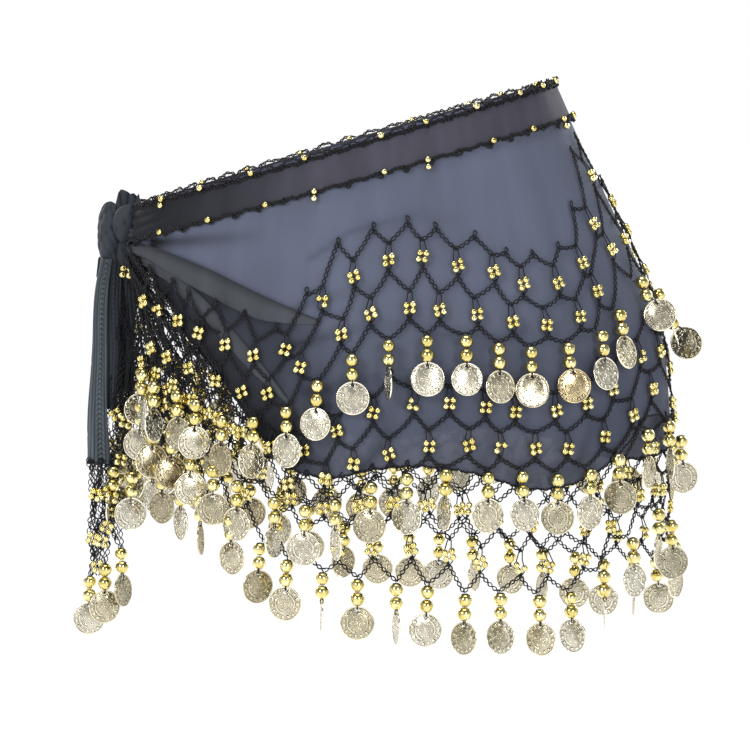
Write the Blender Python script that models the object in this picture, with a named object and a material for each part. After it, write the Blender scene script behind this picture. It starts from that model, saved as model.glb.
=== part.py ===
"""A belly dance hip scarf, tied round the hips with its knot at one side.

A long chiffon panel goes once round a general hip form. Its top edge is doubled into a waist
band between two crocheted edgings, and three tiers of crocheted net hang on it, each ending in a
row of coins. Both ends of the panel gather into a knot, from which two tails hang.

Frame: metres, +Z up. The origin is the middle of the waist opening, where the wearer holds the
scarf. The knot is on the -X side and the near hip faces -Y. A place on the hips is given by phi,
the angle in degrees round the top edge (0 at +X, -90 at -Y), and by drop, the millimetres below
the top edge along the plumb line from there.
"""

import math

import bmesh
import bpy
import numpy as np

MM = 0.001

# The general hip form: level rings, each leaning up towards +X. Millimetres and degrees.
HIP_FORM_NAMES = ("drop", "centre_x", "half_width", "half_depth", "lean")
HIP_FORM = (
    (0, 0, 138, 98, 16.5),
    (40, 7, 149, 107, 14.5),
    (80, 19, 158, 116, 12),
    (130, 34, 167, 123, 8),
    (180, 40, 168, 126, 5),
    (240, 41, 166, 124, 3),
    (330, 41, 163, 122, 2),
)

# Levels of the scarf from its middle (reach 0) to the knot (reach 1), millimetres of drop.
# The net's top edge and the coin rows rise and fall in scallops, and all gather at the knot.
LEVEL_NAMES = ("reach", "net_top", "upper_coins", "middle_coins", "lower_coins", "hem")
LEVELS = (
    (0.00, 30, 112, 186, 240, 182),
    (0.06, 60, 126, 200, 256, 198),
    (0.13, 86, 136, 210, 279, 213),
    (0.20, 82, 137, 208, 283, 215),
    (0.29, 63, 127, 203, 278, 202),
    (0.36, 50, 122, 201, 271, 195),
    (0.44, 45, 123, 208, 267, 195),
    (0.50, 60, 136, 218, 262, 198),
    (0.57, 98, 156, 215, 252, 186),
    (0.64, 85, 158, 201, 230, 146),
    (0.73, 66, 141, 178, 206, 104),
    (0.85, 42, 122, 152, 184, 52),
    (1.00, 22, 96, 126, 154, 26),
)
MIDDLE_PHI = -14
PANEL_END_PHI = 172
NET_END_PHI = 167
COLUMNS = 54

# The band, and the folds that fan out from the knot. Folds: phi, upper and lower edge.
BAND_DEPTH = 21
EDGING_WIDTH = 4.4
FOLDS = {
    "fold_upper_front": ((-162, 24, 27), (-150, 26, 32), (-128, 42, 56), (-110, 68, 84), (-96, 92, 102)),
    "fold_lower_front": ((-151, 35, 40), (-141, 46, 58), (-127, 70, 88), (-112, 108, 130), (-99, 150, 168)),
    "fold_upper_back": ((162, 24, 27), (148, 27, 34), (125, 43, 56), (108, 70, 84), (95, 90, 99)),
    "fold_lower_back": ((150, 37, 42), (139, 48, 60), (123, 78, 95), (108, 116, 135), (97, 150, 164)),
}

# Each layer lies on the one before: (millimetres off the form, thickness).
PANEL_LAYER = (0, 1.2)
DOUBLED_LAYER = (1.7, 1.0)
NET_LAYER = (3.2, 1.0)
EDGING_LAYER = (3.2, 1.6)
COIN_LAYER = (5.2, 2.6)
SEAM = 0.4

# A coin row reaches from the first bead's top to the coin's foot.
BEAD_HEAD = 5
COIN_FOOT = 47

# The knot, as level oval rings: z, centre x, centre y, half x, half y.
KNOT = {
    "knot_wrap": (
        (-39.5, -141, 0, 5, 8),
        (-44, -144, 0, 10, 15),
        (-53, -146, 0, 12, 18.5),
        (-63, -146, 0, 11.5, 18),
        (-71, -144.5, 0, 9, 14.5),
        (-76.5, -143.5, 0, 5, 9),
    ),
    "knot_loop": (
        (-39, -139.5, -1, 4, 7),
        (-35.5, -139, -1, 7.5, 11),
        (-31.5, -137, -1, 7, 10.5),
        (-28.5, -135.5, -1, 3, 6),
    ),
    "knot_tuck": (
        (-70.5, -157.5, -3, 1.2, 3),
        (-74, -158, -3, 2.6, 6),
        (-79, -159, -3, 2.8, 5),
        (-83, -159.5, -3, 1.2, 2.5),
    ),
}
RING_POINTS = 14

# The tails hang between the ends of the nets. Cloth: z, centre x, centre y, width.
TAIL_CLOTH = {
    "tail_cloth_front": (
        (-77.5, -148, -9, 15),
        (-92, -150, -12, 17),
        (-130, -152, -13, 18),
        (-168, -154, -13, 19),
        (-203, -156, -13, 19),
    ),
    "tail_cloth_back": ((-77.5, -141, 6, 13), (-90, -141, 9, 14), (-122, -142, 10, 15), (-158, -142, 10, 15)),
}
TAIL_FOLDS = 3
TAIL_FOLD_DEPTH = 2.4
TAIL_WALL = 2.0

# The tails' own net and coins, as plain oval rings of their reach, in the knot's columns.
TAIL_FRINGE = {
    "tail_fringe_front": (
        (-204, -155, -13, 8, 5),
        (-222, -154, -13, 11, 7),
        (-262, -153, -13, 12, 7.5),
        (-300, -154, -13, 13, 8),
        (-316, -155, -13, 8, 5),
    ),
    "tail_fringe_back": (
        (-159, -140, 10, 7, 5),
        (-178, -138, 10, 10, 8),
        (-215, -137, 10, 11, 8.5),
        (-243, -137, 10, 7, 6),
    ),
}

# Finishes: colour, roughness, metallic.
FINISHES = {
    "chiffon": ((0.10, 0.11, 0.14), 0.75, 0),
    "doubled_chiffon": ((0.035, 0.032, 0.040), 0.80, 0),
    "crochet_yarn": ((0.010, 0.010, 0.013), 0.85, 0),
    "gold_bead": ((0.80, 0.55, 0.16), 0.20, 1),
    "coin_metal": ((0.72, 0.66, 0.52), 0.28, 1),
}


def clear_scene():
    for item in list(bpy.data.objects):
        bpy.data.objects.remove(item)


def make_finishes():
    made = {}
    for name, (colour, roughness, metallic) in FINISHES.items():
        material = bpy.data.materials.new(name)
        material.use_nodes = True
        shader = material.node_tree.nodes["Principled BSDF"]
        shader.inputs["Base Color"].default_value = (*colour, 1)
        shader.inputs["Roughness"].default_value = roughness
        shader.inputs["Metallic"].default_value = metallic
        made[name] = material
    return made


def column_of(table, names, name):
    return np.array([row[names.index(name)] for row in table], float)


def smooth(at, known_at, known):
    """A smooth curve through the known values, level with the end ones outside them."""
    slope = np.gradient(known, known_at)
    at = np.clip(np.asarray(at, float), known_at[0], known_at[-1])
    start = np.clip(np.searchsorted(known_at, at, side="right") - 1, 0, len(known_at) - 2)
    length = known_at[start + 1] - known_at[start]
    t = (at - known_at[start]) / length
    rise = known[start] + (known[start + 1] - known[start]) * t * t * (3 - 2 * t)
    ease_out = slope[start] * t * (1 - t) ** 2
    ease_in = slope[start + 1] * t * t * (1 - t)
    return rise + length * (ease_out - ease_in)


def form(drop, name):
    known_at = column_of(HIP_FORM, HIP_FORM_NAMES, "drop")
    return smooth(drop, known_at, column_of(HIP_FORM, HIP_FORM_NAMES, name))


def plumb_angle(phi, drop, steps=40):
    """The angle round the form where the plumb line from phi on the top edge is at this drop."""
    phi, drop = np.broadcast_arrays(np.radians(np.asarray(phi, float)), np.asarray(drop, float))
    angle = phi.copy()
    for step in range(steps):
        here = drop * (step + 0.5) / steps
        across = -form(here, "half_width") * np.sin(angle)
        along = form(here, "half_depth") * np.cos(angle)
        centre_drift = form(here + 0.5, "centre_x") - form(here - 0.5, "centre_x")
        width_drift = form(here + 0.5, "half_width") - form(here - 0.5, "half_width")
        depth_drift = form(here + 0.5, "half_depth") - form(here - 0.5, "half_depth")
        drift = (centre_drift + width_drift * np.cos(angle)) * across + depth_drift * np.sin(angle) * along
        angle = angle - drop / steps * drift / (across**2 + along**2)
    return angle


def on_hips(phi, drop, lift):
    """Points in millimetres, lifted off the hip form."""
    angle = plumb_angle(phi, drop)
    lean = np.radians(form(drop, "lean"))
    out = (form(drop, "half_width") + lift) * np.cos(angle)
    x = form(drop, "centre_x") + out * np.cos(lean)
    y = (form(drop, "half_depth") + lift) * np.sin(angle)
    z = out * np.sin(lean) - drop
    return np.stack([x, y, z], axis=-1)


def level(name, phi):
    """A level's drop at phi: the scarf's two halves match, and the far half is a little longer."""
    from_middle = np.asarray(phi, float) - MIDDLE_PHI
    near, far = PANEL_END_PHI + MIDDLE_PHI, PANEL_END_PHI - MIDDLE_PHI
    reach = np.where(from_middle < 0, from_middle / near, from_middle / far)
    known_at = column_of(LEVELS, LEVEL_NAMES, "reach")
    known = column_of(LEVELS, LEVEL_NAMES, name)
    return smooth(reach, np.append(-known_at[:0:-1], known_at), np.append(known[:0:-1], known))


def add_object(name, points, faces, finish):
    mesh = bpy.data.meshes.new(name)
    mesh.from_pydata([tuple(point * MM) for point in points], [], faces)
    mesh.materials.append(finish)
    built = bmesh.new()
    built.from_mesh(mesh)
    bmesh.ops.recalc_face_normals(built, faces=built.faces)
    built.to_mesh(mesh)
    built.free()
    mesh.shade_smooth()
    mesh.set_sharp_from_angle(angle=math.radians(50))
    item = bpy.data.objects.new(name, mesh)
    bpy.context.scene.collection.objects.link(item)
    return item


def closed_wall(name, inner, outer, finish):
    """A wall between two grids of points of one size, closed all round its rim."""
    rows, columns = inner.shape[:2]
    number = np.arange(rows * columns).reshape(rows, columns)
    back = number + rows * columns
    faces = []
    for row in range(rows - 1):
        for column in range(columns - 1):
            corners = (row, column), (row, column + 1), (row + 1, column + 1), (row + 1, column)
            faces.append([int(back[at]) for at in corners])
            faces.append([int(number[at]) for at in reversed(corners)])
    rim = [(0, column) for column in range(columns)]
    rim += [(row, columns - 1) for row in range(1, rows)]
    rim += [(rows - 1, column) for column in range(columns - 2, -1, -1)]
    rim += [(row, 0) for row in range(rows - 2, 0, -1)]
    for here, after in zip(rim, rim[1:] + rim[:1]):
        faces.append([int(number[here]), int(number[after]), int(back[after]), int(back[here])])
    points = np.concatenate([inner.reshape(-1, 3), outer.reshape(-1, 3)])
    return add_object(name, points, faces, finish)


def hip_wall(name, phi, top, bottom, rows, layer, finish):
    """A wall on the hips between two edges given as drops, in one of the layers."""
    share = np.linspace(0, 1, rows + 1)[:, None]
    drop = top + (bottom - top) * share
    angle = np.broadcast_to(phi, drop.shape)
    lift, thickness = layer
    inner = on_hips(angle, drop, lift)
    outer = on_hips(angle, drop, lift + thickness)
    return closed_wall(name, inner, outer, finish)


def lofted(name, rings, finish, points=RING_POINTS):
    """A closed rounded body through level oval rings."""
    built = bmesh.new()
    loops = []
    for z, centre_x, centre_y, half_x, half_y in rings:
        loop = []
        for step in range(points):
            turn = 2 * math.pi * step / points
            x = centre_x + half_x * math.cos(turn)
            y = centre_y + half_y * math.sin(turn)
            loop.append(built.verts.new((x * MM, y * MM, z * MM)))
        loops.append(loop)
    for upper, lower in zip(loops, loops[1:]):
        for step in range(points):
            after = (step + 1) % points
            built.faces.new((upper[step], upper[after], lower[after], lower[step]))
    built.faces.new(loops[0])
    built.faces.new(loops[-1])
    bmesh.ops.recalc_face_normals(built, faces=built.faces)
    mesh = bpy.data.meshes.new(name)
    built.to_mesh(mesh)
    built.free()
    mesh.materials.append(finish)
    mesh.shade_smooth()
    mesh.set_sharp_from_angle(angle=math.radians(50))
    item = bpy.data.objects.new(name, mesh)
    bpy.context.scene.collection.objects.link(item)
    return item


def fold_wall(name, edges, panel_phi, finish):
    """A doubled strip of the panel, between an upper and a lower edge, on the panel's own columns."""
    edges = np.array(sorted(edges), float)
    phi = panel_phi[(panel_phi >= edges[0, 0]) & (panel_phi <= edges[-1, 0])]
    top = smooth(phi, edges[:, 0], edges[:, 1])
    bottom = smooth(phi, edges[:, 0], edges[:, 2])
    return hip_wall(name, phi, top, bottom, 1, DOUBLED_LAYER, finish)


def tail_cloth(name, sections, finish):
    """A hanging length of cloth in soft pleats, level across."""
    columns = 2 * TAIL_FOLDS + 1
    share = np.linspace(-0.5, 0.5, columns)
    pleat = TAIL_FOLD_DEPTH * (-1.0) ** np.arange(columns) / 2
    middle = []
    for z, centre_x, centre_y, width in sections:
        middle.append([(centre_x + width * s, centre_y + p, z) for s, p in zip(share, pleat)])
    middle = np.array(middle, float)
    off = np.array([0, TAIL_WALL / 2, 0])
    return closed_wall(name, middle - off, middle + off, finish)


def build():
    clear_scene()
    finishes = make_finishes()
    chiffon, doubled = finishes["chiffon"], finishes["doubled_chiffon"]
    yarn, coin = finishes["crochet_yarn"], finishes["coin_metal"]

    panel_phi = np.linspace(-PANEL_END_PHI, PANEL_END_PHI, COLUMNS + 1)
    net_phi = np.clip(panel_phi, -NET_END_PHI, NET_END_PHI)
    edge = np.zeros(len(panel_phi))

    hip_wall("hip_panel", panel_phi, edge, level("hem", panel_phi), 8, PANEL_LAYER, chiffon)
    hip_wall("waist_band", panel_phi, edge, edge + BAND_DEPTH, 1, DOUBLED_LAYER, doubled)
    half = EDGING_WIDTH / 2
    for name, drop in (("edging_top", half), ("edging_band", BAND_DEPTH)):
        hip_wall(name, panel_phi, edge + drop - half, edge + drop + half, 1, EDGING_LAYER, yarn)
    for name, edges in FOLDS.items():
        fold_wall(name, edges, panel_phi, doubled)

    starts = (level("net_top", net_phi), level("upper_coins", net_phi), level("middle_coins", net_phi))
    starts = (np.maximum(starts[0], BAND_DEPTH + half), *starts[1:])
    ends = (*starts[1:], level("lower_coins", net_phi))
    limits = (*ends[1:], ends[-1] + 2 * COIN_FOOT)
    for name, start, end, next_row in zip(("upper", "middle", "lower"), starts, ends, limits):
        foot = np.minimum(end + COIN_FOOT, next_row - BEAD_HEAD - SEAM)
        hip_wall(f"net_{name}", net_phi, start + SEAM, end, 3, NET_LAYER, yarn)
        hip_wall(f"coin_row_{name}", net_phi, end - BEAD_HEAD, foot, 3, COIN_LAYER, coin)

    for name, rings in KNOT.items():
        lofted(name, rings, doubled)
    for name, sections in TAIL_CLOTH.items():
        tail_cloth(name, sections, doubled)
    for name, rings in TAIL_FRINGE.items():
        lofted(name, rings, yarn)


build()
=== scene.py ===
# %% [markdown]
# # A belly dance hip scarf
# A chiffon scarf is tied round the hips with its knot at one side. Three tiers of crocheted net
# hang on it, threaded with small gold beads, and each tier ends in a row of coins. This lesson
# dresses the plain solids of the frame: fine cloth for the walls, real yarn for the nets, and
# turned beads and stamped coins for the coin rows.
#
# The frame is loaded first. Its box is kept.

# %% Load the frame
import math
import bmesh
import bpy
import numpy as np
from mathutils import Matrix, Vector


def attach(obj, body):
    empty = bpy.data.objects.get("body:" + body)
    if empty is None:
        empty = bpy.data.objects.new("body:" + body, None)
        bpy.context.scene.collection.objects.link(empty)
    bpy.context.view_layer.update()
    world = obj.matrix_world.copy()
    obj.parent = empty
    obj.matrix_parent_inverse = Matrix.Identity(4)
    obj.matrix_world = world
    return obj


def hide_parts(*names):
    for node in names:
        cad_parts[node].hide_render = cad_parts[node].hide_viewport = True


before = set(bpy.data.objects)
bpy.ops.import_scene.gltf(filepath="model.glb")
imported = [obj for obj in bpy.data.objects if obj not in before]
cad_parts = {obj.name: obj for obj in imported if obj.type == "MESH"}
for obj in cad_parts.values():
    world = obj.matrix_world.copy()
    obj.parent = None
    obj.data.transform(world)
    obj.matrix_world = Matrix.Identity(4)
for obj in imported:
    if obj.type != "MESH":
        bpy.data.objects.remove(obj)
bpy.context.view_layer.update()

MM = 0.001
rng = np.random.default_rng(7)
print("frame nodes:", len(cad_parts))

# %% [markdown]
# ## The form under the cloth
# Every piece lies on one general hip form: level ovals that lean up towards +X and flare from the
# waist to the hips. A second table says how far down each level of the scarf hangs, from its
# middle (reach 0) to the knot (reach 1). Sizes are in millimetres, and angles in degrees.

# %% The form's tables


def columns_of(names, *rows):
    """A table's columns as arrays, each by its name."""
    return dict(zip(names, np.array(rows, float).T))


FORM = columns_of(
    ("drop", "centre_x", "half_width", "half_depth", "lean"),
    (0, 0, 138, 98, 16.5),
    (40, 7, 149, 107, 14.5),
    (80, 19, 158, 116, 12),
    (130, 34, 167, 123, 8),
    (180, 40, 168, 126, 5),
    (240, 41, 166, 124, 3),
    (330, 41, 163, 122, 2),
)
LEVEL = columns_of(
    ("reach", "net_top", "upper_coins", "middle_coins", "lower_coins", "hem"),
    (0.00, 30, 112, 186, 240, 182),
    (0.06, 60, 126, 200, 256, 198),
    (0.13, 86, 136, 210, 279, 213),
    (0.20, 85, 137, 208, 283, 215),
    (0.29, 66, 127, 203, 278, 202),
    (0.36, 54, 122, 201, 271, 195),
    (0.44, 51, 123, 208, 267, 195),
    (0.50, 60, 136, 218, 262, 198),
    (0.57, 98, 156, 215, 252, 186),
    (0.64, 85, 158, 201, 230, 146),
    (0.73, 66, 141, 178, 206, 104),
    (0.85, 42, 122, 152, 184, 52),
    (1.00, 22, 96, 126, 154, 26),
)
MIDDLE_PHI, PANEL_END_PHI, NET_END_PHI = -14, 172, 167
NEAR_SPAN, FAR_SPAN = PANEL_END_PHI + MIDDLE_PHI, PANEL_END_PHI - MIDDLE_PHI
TUCKED_PHI = PANEL_END_PHI + 4
BAND_DEPTH = 21
CLOTH_LIFT = 1.2
print("deepest hem and coins, mm below the top edge:", LEVEL["hem"].max(), LEVEL["lower_coins"].max())

# %% [markdown]
# ### Places on the form
# A place is an angle round the top edge, `phi`, and a drop along the plumb line from there, so
# that whatever hangs keeps its phi. Reading the cloth's solid with a ray would also give the
# surface, but only where that solid is, and fringe hangs below it.

# %% Places on the form


def smooth(at, known_at, known):
    """A smooth curve through the known values."""
    known_at, known = np.asarray(known_at, float), np.asarray(known, float)
    slope = np.gradient(known, known_at)
    at = np.clip(np.asarray(at, float), known_at[0], known_at[-1])
    start = np.clip(np.searchsorted(known_at, at, side="right") - 1, 0, len(known_at) - 2)
    length = known_at[start + 1] - known_at[start]
    t = (at - known_at[start]) / length
    rise = known[start] + (known[start + 1] - known[start]) * t * t * (3 - 2 * t)
    return rise + length * (slope[start] * t * (1 - t) ** 2 - slope[start + 1] * t * t * (1 - t))


def form(drop, name):
    """One of the hip form's sizes at a drop."""
    return smooth(drop, FORM["drop"], FORM[name])


def reach_of(phi):
    """How far round from the scarf's middle: -1 at the near end, 0 in the middle, 1 at the far end."""
    from_middle = np.asarray(phi, float) - MIDDLE_PHI
    return np.where(from_middle < 0, from_middle / NEAR_SPAN, from_middle / FAR_SPAN)


def near_side(phi, share=1.0):
    """The phi on the near half that matches this one, as the two halves are alike."""
    reach = -np.abs(reach_of(phi)) * share
    return np.where(phi > MIDDLE_PHI, MIDDLE_PHI + reach * NEAR_SPAN, phi)


def by_knot(phi, start, width, middle=3):
    """0 away from the knot and 1 near it: it rises over width degrees, start degrees from the middle."""
    return np.clip((np.abs(phi - middle) - start) / width, 0, 1)


def level(name, phi):
    """The drop of one level of the scarf, the same on both halves."""
    at, known = LEVEL["reach"], LEVEL[name]
    return smooth(reach_of(phi), np.append(-at[:0:-1], at), np.append(known[:0:-1], known))


PHI_GRID = np.arange(-180, 181)
DROP_GRID = np.arange(0, 341)
OVAL_NAMES = ("centre_x", "half_width", "half_depth")


def plumb_angles():
    """The angle round the form down the plumb line from each phi of the grid, a row for each drop."""
    angle = np.radians(PHI_GRID.astype(float))
    angles = [angle]
    for here in DROP_GRID[:-1] + 0.5:
        across = -form(here, "half_width") * np.sin(angle)
        along = form(here, "half_depth") * np.cos(angle)
        centre_drift, width_drift, depth_drift = (
            form(here + 0.5, name) - form(here - 0.5, name) for name in OVAL_NAMES
        )
        drift = (centre_drift + width_drift * np.cos(angle)) * across + depth_drift * np.sin(angle) * along
        angle = angle - drift / (across**2 + along**2)
        angles.append(angle)
    return np.array(angles)


PLUMB_ANGLES = plumb_angles()


def plumb_angle(phi, drop):
    """The angle round the form where the plumb line from phi on the top edge is at this drop."""
    phi, drop = np.broadcast_arrays(np.asarray(phi, float) + 180, np.asarray(drop, float))
    column = np.clip(phi.astype(int), 0, len(PHI_GRID) - 2)
    row = np.clip(drop.astype(int), 0, len(DROP_GRID) - 2)
    right, down = phi - column, drop - row
    upper, lower = (
        PLUMB_ANGLES[at, column] * (1 - right) + PLUMB_ANGLES[at, column + 1] * right for at in (row, row + 1)
    )
    return upper * (1 - down) + lower * down


def on_hips(phi, drop, lift):
    """Points in metres, lifted off the form by millimetres."""
    angle = plumb_angle(phi, drop)
    lean = np.radians(form(drop, "lean"))
    out = (form(drop, "half_width") + lift) * np.cos(angle)
    x = form(drop, "centre_x") + out * np.cos(lean)
    y = (form(drop, "half_depth") + lift) * np.sin(angle)
    return np.stack([x, y, out * np.sin(lean) - drop], axis=-1) * MM


def unit(vectors):
    return vectors / np.maximum(np.linalg.norm(vectors, axis=-1, keepdims=True), 1e-12)


def directions(phi, drop):
    """Unit vectors round the form, down it and out of it."""
    phi, drop = np.asarray(phi, float), np.asarray(drop, float)
    around = unit(on_hips(phi + 0.5, drop, 0) - on_hips(phi - 0.5, drop, 0))
    down = unit(on_hips(phi, drop + 1, 0) - on_hips(phi, drop - 1, 0))
    return around, down, unit(np.cross(down, around))


def frame_at(phi, drop, lift):
    """A point and its around, down and out vectors."""
    return on_hips(phi, drop, lift), *(vector[0] for vector in directions([phi], [drop]))


right_side = on_hips(0.0, 180.0, CLOTH_LIFT)

# %% [markdown]
# ## Materials
# Shader maths is easier to read as a Python expression than as a list of nodes. A small class
# wraps a socket and gives it the usual operators, and one method adds any other node.

# %% The socket class


class Flow:
    """A socket in a node tree, which may be used in expressions."""

    def __init__(self, tree, socket=None):
        self.tree, self.socket = tree, socket

    def plug(self, target, value):
        if isinstance(value, Flow):
            self.tree.links.new(value.socket, target)
        else:
            target.default_value = value

    def node(self, kind, sockets=None, output=0, **settings):
        """Adds a node, fills its input sockets and gives one of its outputs."""
        made = self.tree.nodes.new(kind)
        for key, value in settings.items():
            if key == "stops":
                elements = made.color_ramp.elements
                while len(elements) < len(value):
                    elements.new(0.5)
                for element, (position, colour) in zip(elements, value):
                    element.position, element.color = position, colour
            else:
                setattr(made, key, value)
        for key, value in (sockets or {}).items():
            self.plug(made.inputs[key], value)
        return Flow(self.tree, made.outputs[output])

    def maths(self, operation, *values):
        return self.node("ShaderNodeMath", dict(enumerate(values)), operation=operation)

    def vector_maths(self, operation, *values):
        return self.node("ShaderNodeVectorMath", dict(enumerate(values)), operation=operation)

    def scaled(self, amount):
        """This vector or colour times a number."""
        return self.node("ShaderNodeVectorMath", {0: self, "Scale": amount}, operation="SCALE")

    def mix(self, share, first, second):
        """A colour between two."""
        return self.node("ShaderNodeMix", {0: share, 6: first, 7: second}, 2, data_type="RGBA")

    def band(self, low, high):
        """0 below low, 1 above high and a smooth step between them; high may be the lower one."""
        sockets = {0: self, 1: low, 2: high, 3: 0.0, 4: 1.0}
        return self.node("ShaderNodeMapRange", sockets, interpolation_type="SMOOTHSTEP")

    def __add__(self, other):
        return self.maths("ADD", self, other)

    def __sub__(self, other):
        return self.maths("SUBTRACT", self, other)

    def __mul__(self, other):
        return self.maths("MULTIPLY", self, other)

    def __truediv__(self, other):
        return self.maths("DIVIDE", self, other)

    def __rsub__(self, other):
        return self.maths("SUBTRACT", other, self)

    def __rtruediv__(self, other):
        return self.maths("DIVIDE", other, self)

    __radd__, __rmul__ = __add__, __mul__


def new_material(name, constants, paint=None):
    """A Principled material: constants go on its sockets, and paint(flow) returns what varies."""
    material = bpy.data.materials.new(name)
    material.use_nodes = True
    tree = material.node_tree
    shader = tree.nodes["Principled BSDF"]
    for key, value in constants.items():
        shader.inputs[key].default_value = value
    flow = Flow(tree)
    for key, value in (paint(flow) if paint else {}).items():
        flow.plug(shader.inputs[key], value)
    print("material:", name)
    return material


def noise(flow, vector, scale, detail=2.0):
    return flow.node("ShaderNodeTexNoise", {"Vector": vector, "Scale": scale, "Detail": detail})


def bump(flow, height, distance, strength=1.0):
    return flow.node("ShaderNodeBump", {"Height": height, "Distance": distance, "Strength": strength})


def object_place(flow):
    return flow.node("ShaderNodeTexCoord", output="Object")


def number_on(flow, name):
    """A number that the mesh carries as an attribute."""
    return flow.node("ShaderNodeAttribute", output="Fac", attribute_name=name)


# %% [markdown]
# ### Chiffon
# Chiffon is a fine crepe weave: one layer is sheer and looks slate grey over light, and where it
# is doubled or gathered it turns dense and nearly black. The same cloth does both, so one
# attribute, `doubled`, painted on the mesh, drives its colour and how much shows through
# it. It also carries painted shade: in creases, in pleat valleys and along the folds.

# %% Chiffon
SHEER = (0.108, 0.122, 0.176, 1)
DENSE = (0.010, 0.011, 0.014, 1)
DENSE_TONES = {
    "doubled_chiffon": (0.052, 0.051, 0.068, 1),
    "fold_chiffon": (0.050, 0.055, 0.064, 1),
    "knot_chiffon": (0.034, 0.040, 0.050, 1),
    "tail_chiffon": (0.085, 0.103, 0.118, 1),
}
CLOTH_SHADER = {"Roughness": 0.72, "Sheen Weight": 0.05, "Sheen Roughness": 0.4, "Specular IOR Level": 0.12}
STREAKS_PER_METRE = (55.0, 11.0, 1.0)
CREPE_SCALE, CLOUD_SCALE = 1500.0, 14.0


def streaks_and_ripple_shade(flow):
    """Long soft streaks down the cloth, from its own map in metres; in the colour they paint shade on the
    bump's ripples.
    """
    weave = flow.node("ShaderNodeUVMap", uv_map="cloth")
    return noise(flow, flow.vector_maths("MULTIPLY", weave, STREAKS_PER_METRE), 1.0, 3.0)


def paint_chiffon(flow):
    place = object_place(flow)
    doubled = number_on(flow, "doubled")
    cloud = noise(flow, place, CLOUD_SCALE)
    crepe = noise(flow, place, CREPE_SCALE, 1.0)
    streaks = streaks_and_ripple_shade(flow)
    # painted shade and light that follow the bumped streaks, with random cloudy and crepe mottling
    light = (cloud - 0.5) * 0.30 + (streaks - 0.5) * 0.35 + (crepe - 0.5) * 0.10 + 1.0
    return {
        "Base Color": flow.mix(doubled, SHEER, DENSE).scaled(light),
        "Alpha": (doubled * 0.18 + (streaks - 0.5) * 0.10 + 0.78) * number_on(flow, "cover"),
        "Normal": bump(flow, crepe * 0.3 + streaks, 0.0008, 0.35),
    }


def paint_dense(tone):
    def paint(flow):
        streaks = streaks_and_ripple_shade(flow)
        crepe = noise(flow, object_place(flow), CREPE_SCALE, 1.0)
        # painted shade and light that follow the bumped streaks, with crepe mottling
        light = (streaks - 0.5) * 0.9 + (crepe - 0.5) * 0.15 + 1.0
        return {
            "Base Color": flow.mix(number_on(flow, "doubled"), tone, DENSE).scaled(light),
            "Normal": bump(flow, crepe * 0.3 + streaks, 0.0010, 0.5),
        }
    return paint


chiffon = new_material("chiffon", CLOTH_SHADER, paint_chiffon)
doubled_chiffon, fold_chiffon, knot_chiffon, tail_chiffon = (
    new_material(name, CLOTH_SHADER, paint_dense(tone)) for name, tone in DENSE_TONES.items()
)

# %% [markdown]
# ### Yarn and beads
# The yarn is a matt black two-ply. The beads are plated plastic: a smooth, saturated gold, a little
# paler and rougher where it has worn. Noise in the object's own place tells one bead from the next.

# %% Yarn and beads


def paint_yarn(flow):
    fibre = noise(flow, object_place(flow), 2400.0)
    colour = flow.mix(fibre, (0.003, 0.003, 0.004, 1), (0.012, 0.012, 0.016, 1))
    return {"Base Color": colour, "Normal": bump(flow, fibre, 0.0003, 0.8)}


def paint_bead(flow):
    wear = noise(flow, object_place(flow), 180.0)
    colour = flow.mix(wear.band(0.35, 0.7), (0.64, 0.53, 0.17, 1), (0.84, 0.77, 0.42, 1))
    return {"Base Color": colour, "Roughness": wear * 0.14 + 0.08}


SLOT_MATERIALS = {
    "crochet_yarn": new_material("crochet_yarn", {"Roughness": 0.7, "Specular IOR Level": 0.3}, paint_yarn),
    "gold_bead": new_material("gold_bead", {"Metallic": 1.0}, paint_bead),
}

# %% [markdown]
# ### Coins
# The coins are stamped thin metal in a paler plating, dull in the hollows and bright on what
# stands proud, so their relief is drawn once as a height and used for both the bump and the dirt.
# It is a plain ring of dots, some arcs and a small rosette. A radius of 1 is the coin's edge.

# %% Coins
COIN_TONES = (
    (0.0, (0.97, 0.92, 0.76, 1)),
    (0.5, (0.88, 0.80, 0.58, 1)),
    (0.85, (0.60, 0.55, 0.40, 1)),
    (1.0, (0.74, 0.56, 0.27, 1)),
)
RING_DOTS, RING_RADIUS, ARC_RADIUS = 15, 0.78, 0.58
PETALS, PETAL_RADIUS, PETAL_SWING = 6, 0.27, 0.16


def paint_coin(flow):
    face = flow.node("ShaderNodeUVMap", uv_map="face")
    x, y = (flow.node("ShaderNodeSeparateXYZ", {0: face}, axis) for axis in (0, 1))
    radius = flow.maths("SQRT", x * x + y * y)
    turn = flow.maths("ARCTAN2", y, x)
    from_ring = flow.maths("ABSOLUTE", radius - RING_RADIUS)
    dots = flow.maths("COSINE", turn * RING_DOTS).band(-0.5, 0.6) * from_ring.band(0.11, 0.05)
    arcs = flow.maths("ABSOLUTE", radius - ARC_RADIUS).band(0.075, 0.035)
    arcs = arcs * flow.maths("SINE", turn * 2.0 + 0.6).band(-0.35, 0.0)
    petals = flow.maths("COSINE", turn * PETALS) * PETAL_SWING + PETAL_RADIUS
    height = flow.maths("ABSOLUTE", radius - petals).band(0.10, 0.03)
    for raised in (radius.band(0.10, 0.05), dots, arcs, radius.band(0.90, 0.94)):
        height = flow.maths("MAXIMUM", height, raised)
    grime = noise(flow, object_place(flow), 200.0, 1.0)
    metal = flow.node("ShaderNodeValToRGB", {0: number_on(flow, "tone")}, stops=COIN_TONES)
    polish = height * 0.65 + grime.band(0.35, 0.65) * 0.25 + 0.12
    return {
        "Base Color": flow.mix(polish, metal.scaled(0.44), metal),
        "Roughness": grime * 0.10 + 0.13 + (1.0 - height) * 0.08,
        "Normal": bump(flow, height - radius * radius * 2.0 + grime * 0.10, 0.0007),
    }


SLOT_MATERIALS["coin_metal"] = new_material("coin_metal", {"Metallic": 1.0}, paint_coin)

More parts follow.
